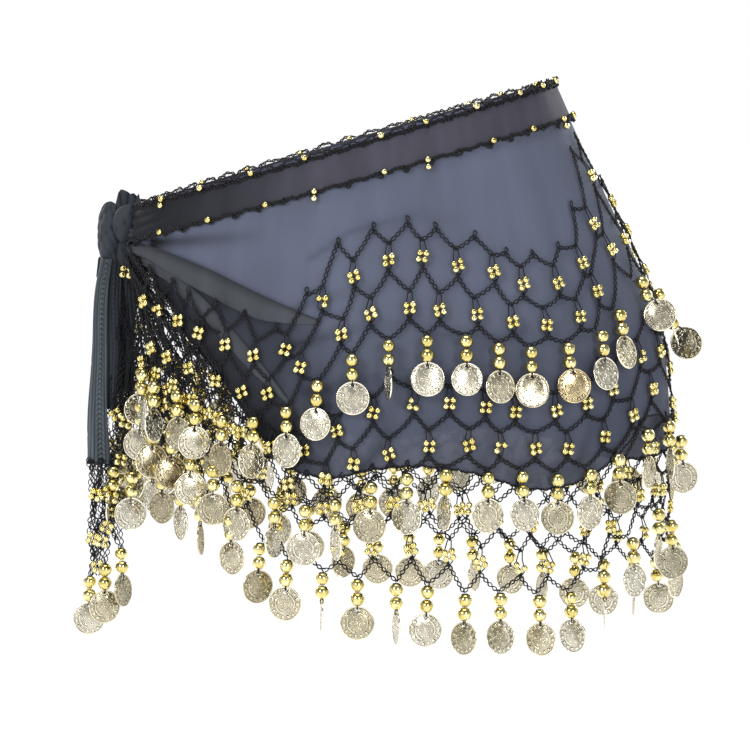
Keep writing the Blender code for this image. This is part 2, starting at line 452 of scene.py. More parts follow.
# %% [markdown]
# ## Cloth as a grid of points
# A sheet of cloth is a grid: rows down it, columns across. Working the points out as arrays keeps
# the whole sheet smooth, and the same few lines make the panel, the band, the folds and the tails.
# Solidify then gives the thin wall its two faces.

# %% A sheet from a grid


def put_in_scene(name, data):
    """A new object at the origin, in the scene."""
    item = bpy.data.objects.new(name, data)
    bpy.context.scene.collection.objects.link(item)
    return item


def point_values(mesh, label, values, kind="FLOAT"):
    """An attribute of the mesh, with a value for each of its points."""
    layer = mesh.attributes.new(label, kind, "POINT")
    field = "value" if kind == "FLOAT" else "vector"
    layer.data.foreach_set(field, np.array(values, np.float32, order="C").ravel())


def map_points(mesh, label, places):
    """A UV map of the mesh, from a flat place for each of its points."""
    corner = np.empty(len(mesh.loops), np.int32)
    mesh.loops.foreach_get("vertex_index", corner)
    mesh.uv_layers.new(name=label).data.foreach_set("uv", places[corner].astype(np.float32).ravel())


def shares(steps):
    """0 to 1 down a grid, as a column."""
    return np.linspace(0, 1, steps + 1)[:, None]


def grid_sheet(name, points, material, wall, doubled=0, cover=1, closed=False):
    """A sheet through rows of points, with faces out, a UV map in metres and a wall in millimetres.

    doubled darkens it towards dense cloth, where it lies double and as painted shade, and cover fades it out.
    """
    rows, columns = points.shape[:2]
    number = np.arange(rows * columns).reshape(rows, columns)
    right = np.roll(number, -1, axis=1) if closed else number[:, 1:]
    left = number if closed else number[:, :-1]
    quads = np.stack([left[1:], right[1:], right[:-1], left[:-1]], axis=-1).reshape(-1, 4)
    mesh = bpy.data.meshes.new(name)
    mesh.from_pydata(points.reshape(-1, 3).tolist(), [], quads.tolist())
    across = np.linalg.norm(np.diff(points, axis=1), axis=-1).mean() * np.arange(columns)
    along = np.linalg.norm(np.diff(points, axis=0), axis=-1).mean() * np.arange(rows)
    places = np.stack(np.broadcast_arrays(across[None, :], along[:, None]), axis=-1)
    map_points(mesh, "cloth", places.reshape(-1, 2))
    point_values(mesh, "doubled", np.broadcast_to(doubled, (rows, columns)))
    point_values(mesh, "cover", np.broadcast_to(cover, (rows, columns)))
    mesh.shade_smooth()
    mesh.materials.append(material)
    item = put_in_scene(name, mesh)
    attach(item, "root")
    if wall:
        solid = item.modifiers.new("wall", "SOLIDIFY")
        solid.thickness, solid.offset = wall * MM, 0
    return item


def area_of(points):
    """The area of a grid, in square metres."""
    one = points[1:, 1:] - points[:-1, :-1]
    other = points[1:, :-1] - points[:-1, 1:]
    return float(np.linalg.norm(np.cross(one, other), axis=-1).sum() / 2)


# %% [markdown]
# ### Creases
# Tied cloth is pulled into soft folds that fan out from the knot, and the net's weight puckers it
# where each tip is tacked. A simulation would find its own folds. Placing them one by one keeps each
# fold where it belongs: each is a short path with its own width and height, and the cloth rises or
# sinks smoothly beside it. Where the net pulls the cloth between its tacks, it sinks, and painted
# shade darkens the line of the pull.

# %% Creases
MM_PER_DEGREE = 2.5
CREASES = (
    # height, width, path of (phi, drop)
    (-2.2, 3.0, ((-170, 22), (-148, 26), (-124, 35), (-104, 46))),
    (1.6, 5.0, ((-168, 24), (-140, 31), (-116, 45), (-98, 58))),
    (3.2, 5.5, ((-168, 24), (-151, 30), (-129, 55), (-110, 82), (-96, 100))),
    (-2.2, 3.4, ((-166, 27), (-148, 38), (-128, 67), (-110, 93), (-94, 110))),
    (2.6, 4.0, ((-160, 30), (-142, 46), (-127, 73), (-111, 112), (-99, 156))),
    (-2.4, 3.6, ((-158, 32), (-138, 56), (-124, 88), (-112, 128))),
    (1.4, 3.2, ((-164, 20), (-140, 22), (-112, 27))),
    (-1.2, 6.0, ((-76, 110), (-70, 150), (-72, 190))),
    (1.3, 6.5, ((-62, 100), (-58, 150), (-60, 200))),
    (-1.5, 5.0, ((-48, 120), (-45, 165), (-47, 215))),
    (1.6, 6.0, ((-38, 120), (-33, 165), (-35, 214))),
    (-1.6, 5.0, ((-26, 70), (-24, 130), (-25, 200))),
    (1.2, 5.0, ((-90, 150), (-88, 175), (-92, 200))),
    (-1.0, 4.0, ((-96, 62), (-76, 72), (-58, 70))),
    (0.9, 3.0, ((-92, 84), (-74, 90), (-60, 86))),
)
PULLS = (
    # darkness of the painted shade, which also sets how far the cloth sinks, width, path of (phi, drop)
    (0.90, 2.4, ((-170, 23), (-150, 26), (-133, 31), (-110, 39))),
    (0.35, 2.0, ((-98, 60), (-88, 50), (-72, 50), (-58, 62))),
    (0.30, 2.4, ((-106, 90), (-90, 84), (-72, 86))),
    (0.30, 2.6, ((-104, 112), (-84, 106), (-64, 112))),
    (0.28, 2.2, ((-70, 118), (-52, 126), (-36, 124))),
    (0.25, 2.6, ((-98, 142), (-82, 138), (-64, 146))),
    (0.25, 2.4, ((-52, 150), (-36, 156), (-26, 140))),
    (0.30, 3.0, ((-86, 200), (-80, 176), (-78, 150))),
    (0.26, 3.0, ((-60, 206), (-56, 186), (-58, 160))),
    (0.26, 3.0, ((-36, 206), (-32, 180), (-34, 158))),
)
PULL_DEPTH = 1.6
# the far half's creases lie a little nearer to the scarf's middle
CREASE_REACH = 0.985
# the upper edge of the cloth that lies double, and the painted shadow line of the upper fold
DOUBLE_EDGE = ((-172, 20), (-151, 27), (-129, 47), (-110, 75), (-93, 104), (-80, 140))
FOLD_SHADOW_LINE = ((-168, 24), (-150, 29), (-129, 56), (-110, 83), (-95, 102))


def nearness(phi, drop, path, width):
    """1 on a path and 0 far from it, fading towards the path's far end."""
    here = np.stack([phi * MM_PER_DEGREE, drop], axis=-1)
    points = np.array(path, float) * (MM_PER_DEGREE, 1)
    best = np.full(phi.shape, 1e9)
    along = np.zeros(phi.shape)
    for index, (start, end) in enumerate(zip(points, points[1:])):
        run = end - start
        share = np.clip(((here - start) @ run) / (run @ run), 0, 1)
        gap = np.linalg.norm(here - (start + share[..., None] * run), axis=-1)
        closer = gap < best
        best = np.where(closer, gap, best)
        along = np.where(closer, (index + share) / (len(points) - 1), along)
    spread = width * (1 + 1.2 * along)
    return np.exp(-((best / spread) ** 2)) * (1 - along) ** 0.5


def relief(phi, drop):
    """The cloth's rise off the form in millimetres, on both halves of the scarf."""
    phi, drop = np.broadcast_arrays(np.asarray(phi, float), np.asarray(drop, float))
    near_phi = near_side(phi, CREASE_REACH)
    rise = np.zeros(phi.shape)
    for height, width, path in CREASES:
        rise += height * nearness(near_phi, drop, path, width)
    for dark, width, path in PULLS:
        rise -= PULL_DEPTH * dark * nearness(near_phi, drop, path, width)
    slow = np.sin(phi * 0.11 + drop * 0.013) + np.sin(phi * 0.23 - drop * 0.021 + 1)
    hem_share = np.clip(drop / np.maximum(level("hem", phi), 1), 0, 1.2)
    flutter = np.sin(phi * 0.42 + 1.3 * np.sin(phi * 0.13)) * hem_share**3
    end = np.clip((PANEL_END_PHI - np.abs(phi)) / 10, 0, 1)
    return (rise + 0.35 * slow + 1.1 * flutter) * end + CLOTH_LIFT


def doubling_and_shade(phi, drop):
    """Double cloth under the fold and gathered at the knot, painted shade on the fold and pulls, darker at
    the hem.
    """
    near_phi = near_side(phi)
    under = np.clip((drop - np.interp(near_phi, *zip(*DOUBLE_EDGE)) + 2) / 8, 0, 1)
    towards_knot = np.clip((-88 - near_phi) / 18, 0, 1)
    gathered = np.clip((-141 - near_phi) / 20, 0, 1)
    # painted shadow along the upper fold's crease
    fold_shadow = nearness(near_phi, drop, FOLD_SHADOW_LINE, 5.5)
    # painted shade along the net's pulls
    pull_shade = sum(dark * nearness(near_phi, drop, path, width) for dark, width, path in PULLS)
    low = np.clip(1.8 * drop / np.maximum(level("hem", near_phi), 1) - 0.8, 0, 1)
    double_and_shade = under * towards_knot * 0.62 + fold_shadow * 0.5 + pull_shade + 0.40 * low
    return np.clip(np.maximum(double_and_shade, gathered), 0, 1)


print("creases:", len(CREASES), "pull lines:", len(PULLS))

# %% [markdown]
# ### The panel
# One long piece of chiffon goes once round, and its hem is deepest over the hips and narrows to a
# hand's breadth of gathers at the knot. The grid's rows run from the top edge to the hem.

# %% The panel
PANEL_COLUMNS, PANEL_ROWS = 400, 60
CLOTH_WALL = 0.5

panel_phi = np.linspace(-TUCKED_PHI, TUCKED_PHI, PANEL_COLUMNS + 1)[None, :]
panel_drop = 1 + (level("hem", panel_phi) - 1) * shares(PANEL_ROWS)
panel_phi = np.broadcast_to(panel_phi, panel_drop.shape)
panel_points = on_hips(panel_phi, panel_drop, relief(panel_phi, panel_drop))
panel_dark = doubling_and_shade(panel_phi, panel_drop)
panel = grid_sheet("panel", panel_points, chiffon, CLOTH_WALL, panel_dark)
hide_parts("hip_panel")
print("panel area, square metres:", round(area_of(panel_points), 4))

# %% [markdown]
# ### The waist band
# The panel's top is turned down double, which makes a darker band between two crocheted edges. It
# is a strip laid on the panel's own points, moved out, so that it follows the panel's creases.

# %% The waist band
BAND_LIFT = 0.9
BAND_COLUMNS, BAND_ROWS = 361, 20
PUCKER_HEIGHT = 1.3


def rounded(wave, power=0.6):
    """Sharp valleys between round crests, from a sine."""
    return np.abs(wave) ** power


def puckers(phi, share):
    """Gathers of the strip near the knot, in millimetres."""
    wave = np.sin(share * math.pi * 3.5 + np.sin(phi * 0.13))
    return PUCKER_HEIGHT * by_knot(phi, 128, 36) * rounded(wave, 0.7)


def laid_strip(name, phi, top, bottom, rows, lift, material, crown=0.0, doubled=0):
    """A strip on the panel, with a rounded crown across it. Its rows run from top to bottom."""
    share = shares(rows)
    drop = top + (bottom - top) * share
    phi = np.broadcast_to(phi, drop.shape)
    rise = relief(phi, drop) + lift + crown * np.sin(np.pi * share) + puckers(phi, share)
    points = on_hips(phi, drop, rise)
    return grid_sheet(name, points, material, CLOTH_WALL, doubled), area_of(points)


band_phi = np.linspace(-TUCKED_PHI, TUCKED_PHI, BAND_COLUMNS)
band_top = np.full(BAND_COLUMNS, -0.5)
band_bottom = BAND_DEPTH + 0.6 * np.sin(band_phi * 0.3)
band_dark = by_knot(band_phi, 100, 50)[None, :] ** 0.6
band, band_area = laid_strip(
    "band", band_phi, band_top, band_bottom, BAND_ROWS, BAND_LIFT, doubled_chiffon, doubled=band_dark
)
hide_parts("waist_band")
print("band area:", round(band_area, 4))

# %% [markdown]
# ### The folds
# Below the knot the surplus lies in two flat folds on each side. They are laid as the band is,
# between two edges that fan out from the knot, and painted shadow darkens their upper edge.

# %% The folds
FOLDS = {
    # rows of phi, and the drops of the upper and the lower edge
    "fold_upper_front": ((-170, 22, 26), (-150, 28, 38), (-128, 49, 65), (-110, 75, 91), (-95, 98, 101)),
    "fold_lower_front": ((-164, 28, 31), (-141, 46, 56), (-127, 70, 84), (-112, 110, 124), (-101, 150, 152)),
    "fold_upper_back": ((170, 22, 26), (148, 28, 38), (125, 50, 65), (108, 76, 91), (95, 97, 100)),
    "fold_lower_back": ((163, 29, 32), (139, 48, 58), (123, 78, 92), (108, 117, 130), (99, 152, 154)),
}
FOLD_COLUMNS, FOLD_ROWS, FOLD_LIFT, FOLD_CROWN = 70, 10, 1.0, 0.5
FOLD_TIP_PHI = 96
CREASE_SHADOW = {"upper": 0.62, "lower": 0.35}

fold_sheets = {}
for name, rows in FOLDS.items():
    table = np.array(sorted(rows), float)
    phi = np.linspace(table[0, 0], table[-1, 0], FOLD_COLUMNS)
    edges = [smooth(phi, table[:, 0], table[:, column]) for column in (1, 2)]
    from_knot = ((PANEL_END_PHI - np.abs(phi)) / (PANEL_END_PHI - FOLD_TIP_PHI))[None, :]
    edge_shadow = np.exp(-((shares(FOLD_ROWS) / 0.25) ** 2))
    near_knot = np.clip((0.28 - from_knot) / 0.28, 0, 1)
    # painted shadow along each fold's upper edge; near the knot the gathered cloth is dense
    dark = np.clip(CREASE_SHADOW[name.split("_")[1]] * edge_shadow + near_knot, 0, 1)
    fold_sheets[name] = laid_strip(
        f"cloth_{name}", phi, *edges, FOLD_ROWS, FOLD_LIFT, fold_chiffon, FOLD_CROWN, dark
    )
    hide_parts(name)
print("fold areas:", {name: round(area, 4) for name, (_, area) in fold_sheets.items()})

# %% [markdown]
# ## Crochet chain
# A crocheted chain is a row of open links: two runs of yarn that cross, open to a small eye and
# cross again. Modelling single stitches would take millions of faces, so a Geometry Nodes tree
# makes the chain from any path. Every tree here starts and ends alike, and two helpers do that.

# %% Helpers for trees


def geometry_tree(name, **inputs):
    """A new tree with a Geometry input, the named inputs and a Geometry output."""
    tree = bpy.data.node_groups.new(name, "GeometryNodeTree")
    labels = {label.replace("_", " ").title(): kind for label, kind in inputs.items()}
    for label, kind in {"Geometry": "Geometry", **labels}.items():
        tree.interface.new_socket(label, in_out="INPUT", socket_type=f"NodeSocket{kind}")
    tree.interface.new_socket("Geometry", in_out="OUTPUT", socket_type="NodeSocketGeometry")
    entry = tree.nodes.new("NodeGroupInput")
    print("tree:", name, list(labels))
    return tree, Flow(tree), {label: Flow(tree, entry.outputs[label]) for label in ("Geometry", *labels)}


def finish_tree(tree, geometry, material):
    """Ends a tree with real geometry, shaded smooth, in its material."""
    real = geometry.node("GeometryNodeRealizeInstances", {0: geometry})
    double_and_shade = geometry.node("GeometryNodeSetShadeSmooth", {0: real})
    painted = geometry.node("GeometryNodeSetMaterial", {"Geometry": double_and_shade, "Material": material})
    exit_node = tree.nodes.new("NodeGroupOutput")
    tree.links.new(painted.socket, exit_node.inputs[0])
    return tree


def carried(flow, name, kind):
    """An attribute that the points carry."""
    return flow.node("GeometryNodeInputNamedAttribute", {"Name": name}, data_type=kind)


def tube(flow, path, sides, radius):
    """A round run of yarn along a path."""
    section = flow.node("GeometryNodeCurvePrimitiveCircle", {"Resolution": sides, "Radius": radius})
    sockets = {"Curve": path, "Profile Curve": section, "Fill Caps": True}
    return flow.node("GeometryNodeCurveToMesh", sockets)


# %% [markdown]
# The chain's tree samples the path finely, swings two copies to opposite sides in step with the
# length, and gives each a thin round section. The path's points carry `out`, the way out of the
# cloth, so that the links lie flat on it. A second tree makes a single plain run of yarn.

# %% The yarn trees


def chain_tree():
    tree, flow, given = geometry_tree(
        "crochet chain", step="Float", link_length="Float", link_width="Float", yarn_radius="Float",
        material="Material",
    )
    path = flow.node("GeometryNodeMeshToCurve", {0: given["Geometry"]})
    fine = flow.node("GeometryNodeResampleCurve", {"Curve": path, "Length": given["Step"]}, mode="LENGTH")
    length = flow.node("GeometryNodeSplineParameter", output="Length")
    turn = length / given["Link Length"] * math.pi
    out = carried(flow, "out", "FLOAT_VECTOR")
    tangent = flow.node("GeometryNodeInputTangent")
    side = flow.vector_maths("NORMALIZE", flow.vector_maths("CROSS_PRODUCT", tangent, out))
    swing = side.scaled(flow.maths("SINE", turn) * given["Link Width"] * 0.5)
    over = out.scaled(flow.maths("COSINE", turn) * given["Yarn Radius"])
    offset = flow.vector_maths("ADD", swing, over)
    plies = flow.node("GeometryNodeJoinGeometry")
    for sign in (1.0, -1.0):
        run = flow.node("GeometryNodeSetPosition", {"Geometry": fine, "Offset": offset.scaled(sign)})
        tree.links.new(tube(flow, run, 4, given["Yarn Radius"]).socket, plies.socket.node.inputs[0])
    return finish_tree(tree, plies, given["Material"])


def yarn_tree():
    """A single plain run of yarn along each path."""
    tree, flow, given = geometry_tree("plain yarn", yarn_radius="Float", material="Material")
    path = flow.node("GeometryNodeMeshToCurve", {0: given["Geometry"]})
    return finish_tree(tree, tube(flow, path, 5, given["Yarn Radius"]), given["Material"])


CHAIN_TREE, YARN_TREE = chain_tree(), yarn_tree()

# %% [markdown]
# A tree runs as a modifier on a seed mesh of bare paths or points. Its result is kept as a plain
# mesh and the seed is removed, so that the piece carries no modifier.

# %% Grow a piece from a seed
CHAIN_STEP, THREAD_RADIUS = 0.8, 0.40


def grow(name, mesh, tree, slot, values):
    """The mesh that the tree makes of a seed, as a piece in the slot's material."""
    seed = put_in_scene(name + "_seed", mesh)
    modifier = seed.modifiers.new("grow", "NODES")
    modifier.node_group = tree
    names = {item.name: item.identifier for item in tree.interface.items_tree if item.in_out == "INPUT"}
    for label, value in {**values, "Material": SLOT_MATERIALS[slot]}.items():
        modifier[names[label]] = value
    bpy.context.view_layer.update()
    grown = bpy.data.meshes.new_from_object(seed.evaluated_get(bpy.context.evaluated_depsgraph_get()))
    grown.name = name
    bpy.data.objects.remove(seed)
    item = put_in_scene(name, grown)
    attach(item, "root")
    print(f"{name}: {sum(len(face.vertices) - 2 for face in grown.polygons)} triangles")
    return item


def path_mesh(name, paths):
    """One mesh of open paths. Each path is (points, outs), both in metres and rows of three."""
    edges, start = [], 0
    for path, _ in paths:
        edges += [(start + i, start + i + 1) for i in range(len(path) - 1)]
        start += len(path)
    mesh = bpy.data.meshes.new(name)
    mesh.from_pydata(np.concatenate([points for points, _ in paths]).tolist(), edges, [])
    point_values(mesh, "out", np.concatenate([outs for _, outs in paths]), "FLOAT_VECTOR")
    return mesh


def chains(name, paths, width=2.2, link=3.9, radius=0.46):
    sizes = {"Step": CHAIN_STEP, "Link Length": link, "Link Width": width, "Yarn Radius": radius}
    values = {label: size * MM for label, size in sizes.items()}
    return grow(name, path_mesh(name, paths), CHAIN_TREE, "crochet_yarn", values)


def threads(name, paths):
    values = {"Yarn Radius": THREAD_RADIUS * MM}
    return grow(name, path_mesh(name, paths), YARN_TREE, "crochet_yarn", values)


def hip_path(phi, drop, lift):
    """A path on the form, with the way out at each of its points."""
    return on_hips(phi, drop, lift), directions(phi, drop)[2]


def facing(points, out):
    """A path with one way out all along it."""
    return np.array(points), np.tile(out, (len(points), 1))


# %% [markdown]
# ### The edgings
# Both edges of the band are finished with a crocheted cord that meanders a little. On the top one
# a second chain stands up in low open arches, and on the lower one it hangs in small points. The
# hem is rolled over a thin cord.

# %% The edgings
EDGING_POINTS, HEM_POINTS = 900, 700


def edging(name, node, base_drop, width, loops):
    """loops(phi) is how far the second chain lies below the cord, in millimetres."""
    phi = np.linspace(-PANEL_END_PHI - 3, PANEL_END_PHI + 3, EDGING_POINTS)
    wander = 0.5 * np.sin(phi * 1.1) + 0.4 * np.sin(phi * 2.9 + 1)
    lift = relief(phi, np.full(phi.shape, base_drop)) + BAND_LIFT + 0.9
    under = hip_path(phi, base_drop + wander, lift)
    over = hip_path(phi, base_drop + wander + loops(phi), lift + 0.7)
    item = chains(name, [under], width=width, link=2.8, radius=0.60)
    twin = chains(name + "_overlay", [over], width=1.2, link=3.4, radius=0.48)
    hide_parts(node)
    return item, twin


def low_arches(phi):
    return -0.6 - 2.6 * rounded(np.sin(phi * 0.47 + 0.6 * np.sin(phi * 0.09)))


def small_points(phi):
    return 0.3 + 2.4 * np.clip(np.sin(phi * 0.83 + 0.8 * np.sin(phi * 0.17)), 0, 1) ** 4


hem_phi = np.linspace(-PANEL_END_PHI + 2, PANEL_END_PHI - 2, HEM_POINTS)
hem_drop = level("hem", hem_phi) + 0.4 * np.sin(hem_phi * 1.7)
hem_path = hip_path(hem_phi, hem_drop, relief(hem_phi, hem_drop))
hem_cord = chains("hem_cord", [hem_path], width=0.9, link=3.4, radius=0.5)
top_edging = edging("crochet_top", "edging_top", 1.0, 2.0, low_arches)
band_edging = edging("crochet_band", "edging_band", BAND_DEPTH, 1.6, small_points)

# %% [markdown]
# ## Beads and coins
# One bead or coin is modelled once and set at hundreds of places. Each place is a point that
# carries its turn as an attribute. An array modifier can't turn its copies one by one, and joined
# copies made in a loop are slow, so a tree instances the blank on the points and realizes it.

# %% The tree that sets a blank on points


def setting_tree():
    tree, flow, given = geometry_tree("set on points", blank="Object", material="Material")
    sockets = {
        "Points": flow.node("GeometryNodeMeshToPoints", {"Mesh": given["Geometry"]}),
        "Instance": flow.node("GeometryNodeObjectInfo", {"Object": given["Blank"]}, "Geometry"),
        "Rotation": flow.node("FunctionNodeEulerToRotation", {0: carried(flow, "turn", "FLOAT_VECTOR")}),
        "Scale": carried(flow, "size", "FLOAT"),
    }
    return finish_tree(tree, flow.node("GeometryNodeInstanceOnPoints", sockets), given["Material"])


SETTING_TREE = setting_tree()


def set_on(name, blank, slot, places):
    """places are rows of (point, turn, size, tone)."""
    points, turns, sizes, tones = zip(*places)
    mesh = bpy.data.meshes.new(name)
    mesh.from_pydata([tuple(point) for point in points], [], [])
    point_values(mesh, "turn", turns, "FLOAT_VECTOR")
    point_values(mesh, "size", sizes)
    point_values(mesh, "tone", tones)
    return grow(name, mesh, SETTING_TREE, slot, {"Blank": blank})


def euler_of(x_axis, y_axis, z_axis):
    return tuple(Matrix((x_axis, y_axis, z_axis)).transposed().to_euler("XYZ"))


# %% [markdown]
# ### The blanks
# A drilled bead is a ball whose two poles are drawn in. A stitch, where chains are worked together,
# is a small lump of yarn. A coin is a thin stamped disc: rings of points run from its edge to a
# hole near its top and back on the other face, which leaves a raised rim on both.

# %% The blanks
SMALL_BEAD, BIG_BEAD, STITCH = 2.15, 4.3, 1.15
COIN_RADIUS, HOLE_RADIUS, HOLE_UP = 10.5, 0.9, 8.2
COIN_AROUND = 26
COIN_PROFILE = (
    # share of the way from the edge to the hole, height of the face there
    (0.0, 0.10), (0.015, 0.42), (0.075, 0.42), (0.10, 0.22), (0.55, 0.22), (0.93, 0.22), (1.0, 0.20),
)


def write_mesh(built, mesh):
    built.to_mesh(mesh)
    built.free()
    mesh.shade_smooth()


def turn_outward(mesh):
    """Closes a mesh's open ends and turns all its faces out."""
    built = bmesh.new()
    built.from_mesh(mesh)
    bmesh.ops.holes_fill(built, edges=[edge for edge in built.edges if edge.is_boundary])
    bmesh.ops.recalc_face_normals(built, faces=built.faces)
    write_mesh(built, mesh)


def bead_blank(name, radius, around, rings):
    built = bmesh.new()
    bmesh.ops.create_uvsphere(built, u_segments=around, v_segments=rings, radius=radius * MM)
    for vert in built.verts:
        if abs(vert.co.z) > 0.98 * radius * MM:
            vert.co.z *= 0.80
    mesh = bpy.data.meshes.new(name)
    write_mesh(built, mesh)
    return put_in_scene(name, mesh)


def stitch_blank(name):
    built = bmesh.new()
    bmesh.ops.create_icosphere(built, subdivisions=1, radius=STITCH * MM)
    for vert in built.verts:
        vert.co *= 1 + 0.25 * math.sin(vert.co.x * 4000 + vert.co.z * 7000)
    mesh = bpy.data.meshes.new(name)
    write_mesh(built, mesh)
    return put_in_scene(name, mesh)


def coin_blank(name):
    turn = np.arange(COIN_AROUND) * 2 * math.pi / COIN_AROUND
    circle = np.stack([np.cos(turn), np.sin(turn)], axis=-1)
    edge = circle * COIN_RADIUS
    hole = circle * HOLE_RADIUS + (0, HOLE_UP)
    rings = []
    for side, profile in ((1, COIN_PROFILE), (-1, COIN_PROFILE[::-1])):
        for share, height in profile:
            flat = edge + (hole - edge) * share
            rings.append(np.column_stack([flat, np.full(COIN_AROUND, side * height)]))
    points = np.concatenate(rings) * MM
    number = np.arange(len(points)).reshape(len(rings), COIN_AROUND)
    after = np.roll(number, -1, axis=1)
    quads = np.stack([number, after, np.roll(after, -1, axis=0), np.roll(number, -1, axis=0)], axis=-1)
    mesh = bpy.data.meshes.new(name)
    mesh.from_pydata(points.tolist(), [], quads.reshape(-1, 4).tolist())
    map_points(mesh, "face", points[:, :2] / (COIN_RADIUS * MM))
    turn_outward(mesh)
    return put_in_scene(name, mesh)


small_blank = bead_blank("small_bead_blank", SMALL_BEAD, 8, 6)
big_blank = bead_blank("big_bead_blank", BIG_BEAD, 12, 8)
coin_one = coin_blank("coin_blank")
stitch_one = stitch_blank("stitch_blank")
BLANKS = (small_blank, big_blank, coin_one, stitch_one)
print("faces of each blank:", {blank.name: len(blank.data.polygons) for blank in BLANKS})

# %% [markdown]
# ### The beads on the edgings
# The edging beads sit some 35 mm apart, not quite evenly, as they were crocheted in by hand. Now
# and then two sit one above the other.

# %% Edging beads


def jitter(size):
    return rng.uniform(-size, size)


def edging_beads(name, drop, shift):
    places = []
    phi = -147 + shift
    while phi < 150:
        at = phi + jitter(1.8)
        lift = relief(at, drop) + BAND_LIFT + 2.4
        _, around, down, out = frame_at(at, drop, lift)
        for side in range(1 if rng.random() < 0.85 else 2):
            point = on_hips(at, drop + 4.2 * side, lift)
            places.append((point, euler_of(around, np.cross(out, around), out), rng.uniform(0.92, 1.1), 0))
        phi += rng.uniform(13.5, 18.5)
    return set_on(name, small_blank, "gold_bead", places)


edging_bead_pieces = [
    edging_beads("edging_beads_top", -1.2, 0),
    edging_beads("edging_beads_band", BAND_DEPTH - 0.5, 2),
]

# %% [markdown]
# ## The nets
# Each tier is a honeycomb. From a tacked tip two chains run down to the joints on either side. Two
# threads leave each joint side by side, carry two small beads each, and come together again, and
# from there two chains fan out to the next joints. Two such rows end in the row of coins. The
# joints are worked out first, then everything that runs between them.

# %% The net's joints
PITCH = 8.0
FIRST_ROW, SECOND_ROW = 0.30, 0.70
THREAD_RUN, SPLIT_RUN = 9.4, 6.2
TIERS = {
    # start along the hips, lift off the form, what gathers add to it, gathered runs by the knot
    "upper": (3.5, 2.4, 3.5, 7),
    "middle": (0, 1.7, 2, 6),
    "lower": (4, 1.0, 0.5, 5),
}


def tier_start(tier, phi):
    """The drop where a tier's tips are tacked."""
    if tier == "upper":
        return np.maximum(level("net_top", phi), BAND_DEPTH + 4)
    if tier == "middle":
        upper, middle = level("upper_coins", phi), level("middle_coins", phi)
        return np.minimum(upper + 0.22 * (middle - upper), middle - 52)
    return np.maximum(level("hem", phi), level("lower_coins", phi) - 88)


def net_lift(phi, drop, tier):
    """How far the yarn lies off the form: on the cloth, or hanging free and loose below it."""
    _, base, gathered, _ = TIERS[tier]
    on_cloth = np.clip((level("hem", phi) - drop) / 12 + 0.5, 0, 1)
    return relief(phi, drop) * on_cloth + base + by_knot(phi, 100, 50, MIDDLE_PHI) * gathered


def strand(start, end, tier, sag=0.8, points=6):
    """A path between two (phi, drop) places, bowed a little."""
    share = np.linspace(0, 1, points)
    bow = 4 * share * (1 - share)
    phi = start[0] + (end[0] - start[0]) * share + jitter(0.35) * bow
    drop = start[1] + (end[1] - start[1]) * share + sag * bow
    return hip_path(phi, drop, net_lift(phi, drop, tier))


print("tips' drops at the middle, mm:", {tier: float(tier_start(tier, MIDDLE_PHI)) for tier in TIERS})

# %% [markdown]
# ### Clusters and pendants
# A cluster is four small beads, two on each of two threads. A pendant is two big beads and a coin
# on one yarn. Over the cloth it lies along the surface, and below the hem it hangs plumb. Coins
# turn on their loops, so each has its own yaw, and one that turns edge-on over the cloth stands
# further out, which keeps its edge off the fabric. A class collects all that one net is made of,
# and then makes a single piece of each kind.

# %% Clusters and pendants
BEAD_GAP, COIN_DROP = 8.6, 23.4
ACROSS_CLUSTER, DOWN_CLUSTER = 2.15, 2.0
EDGE_ROOM = 0.55
# the coin's loop, from bead to bead: how far off the coin's middle, and how far up from its hole
LOOP = ((0.9, 1.4), (0.7, 0), (-0.7, 0), (-0.9, 1.4))


